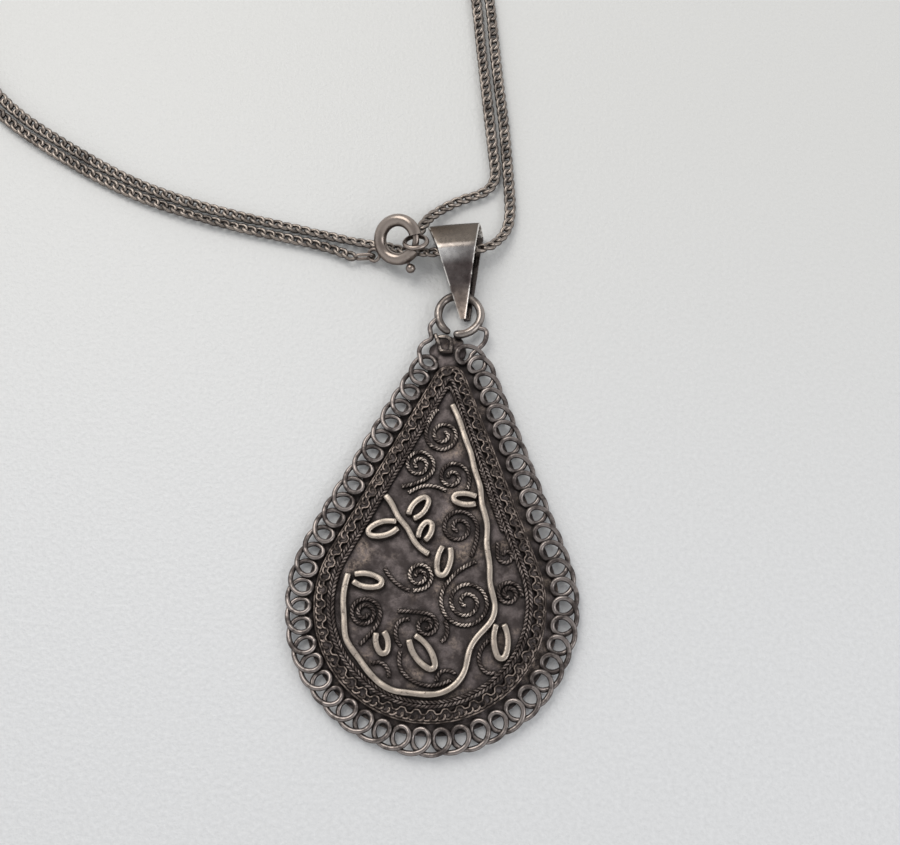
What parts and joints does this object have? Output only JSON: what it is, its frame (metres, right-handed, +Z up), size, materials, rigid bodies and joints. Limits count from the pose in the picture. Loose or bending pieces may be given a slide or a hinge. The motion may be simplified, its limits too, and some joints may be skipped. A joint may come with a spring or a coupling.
{
  "type": "pendant necklace",
  "caption": "Silver teardrop filigree pendant with a coiled wire rim, on a folded bail and a fine curb chain closed by a spring ring clasp.",
  "frame": {"origin": "middle of the pendant and bail's outline, on the surface that the pendant lies on", "axes": "+Y from the pendant's round end towards the bail and chain, +Z up out of the pendant's face, +X to the right seen from the face"},
  "size_m": [0.0877, 0.1279, 0.005],
  "materials": {
    "oxidised_silver_sheet": "dark oxidised, matt",
    "worn_silver_wire": "satin, dark in the hollows",
    "bright_silver_vine": "hand polished on top, pitted",
    "polished_silver": "polished, fine scratches",
    "chain_silver": "bright, tarnished between the links",
    "clasp_silver": "satin"
  },
  "bodies": {
    "chain": {"chain": "chain_silver", "tag_link": "clasp_silver"},
    "clasp": {"spring_ring_tube": "clasp_silver", "clasp_spring": "clasp_silver", "clasp_lug": "clasp_silver"},
    "clasp_bolt": {"clasp_bolt": "clasp_silver", "thumb_knob": "clasp_silver"},
    "end_ring": {"end_ring": "clasp_silver"},
    "bail": {"bail": "polished_silver"},
    "pendant": {"apex_scroll": "worn_silver_wire", "base_plate": "oxidised_silver_sheet", "big_spiral": "worn_silver_wire", "centre_small_scroll": "worn_silver_wire", "field_rope": "worn_silver_wire", "granular_twist": "worn_silver_wire", "guard_wire": "worn_silver_wire", "hanger_strap": "worn_silver_wire", "left_scroll": "worn_silver_wire", "link_arc": "worn_silver_wire", "low_left_rope": "worn_silver_wire", "low_right_rope": "worn_silver_wire", "lower_arc": "worn_silver_wire", "lower_hook": "worn_silver_wire", "lower_left_hook": "worn_silver_wire", "lower_right_crescent": "worn_silver_wire", "lower_scroll": "worn_silver_wire", "middle_scroll": "worn_silver_wire", "pendant_ring": "polished_silver", "right_curl": "worn_silver_wire", "right_small_scroll": "worn_silver_wire", "rim_coil": "worn_silver_wire", "rim_wire_end": "worn_silver_wire", "rim_wire_start": "worn_silver_wire", "side_rope": "worn_silver_wire", "upper_arch": "worn_silver_wire", "upper_left_scroll": "worn_silver_wire", "upper_right_scroll": "worn_silver_wire", "vine_fan_left_leaf": "bright_silver_vine", "vine_fan_right_leaf": "bright_silver_vine", "vine_fan_stem": "bright_silver_vine", "vine_fan_top_leaf": "bright_silver_vine", "vine_left_leaf": "bright_silver_vine", "vine_low_leaf": "bright_silver_vine", "vine_lower_leaf": "bright_silver_vine", "vine_middle_leaf": "bright_silver_vine", "vine_right_leaf": "bright_silver_vine", "vine_stem": "bright_silver_vine", "vine_upper_leaf": "bright_silver_vine", "wave_ribbon": "worn_silver_wire"}
  },
  "joints": [
    {"name": "bail_swing", "type": "hinge", "parent": "chain", "child": "bail", "pos_m": [-0.00079, 0.02726, 0.0022], "axis": [-0.9851, -0.172, 0], "range_deg": [0, 110]},
    {"name": "pendant_swing", "type": "hinge", "parent": "bail", "child": "pendant", "pos_m": [0.0002, 0.02193, 0.0011], "axis": [-1, 0, 0], "range_deg": [0, 70]},
    {"name": "clasp_lift", "type": "hinge", "parent": "chain", "child": "clasp", "pos_m": [-0.01126, 0.02634, 0.00094], "axis": [0.1392, -0.9903, 0], "range_deg": [0, 10]},
    {"name": "bolt_slide", "type": "hinge", "parent": "clasp", "child": "clasp_bolt", "pos_m": [-0.0078, 0.02778, 0.003], "axis": [0.3034, 0.4618, -0.8335], "range_deg": [0, 45], "stiffness_Nm_per_rad": 0.0004, "springref_deg": -17.19},
    {"name": "end_ring_tilt", "type": "hinge", "parent": "clasp", "child": "end_ring", "pos_m": [-0.00561, 0.02732, 0.00354], "axis": [0.0575, 0.8643, 0.4997], "range_deg": [-12, 12]}
  ]
}
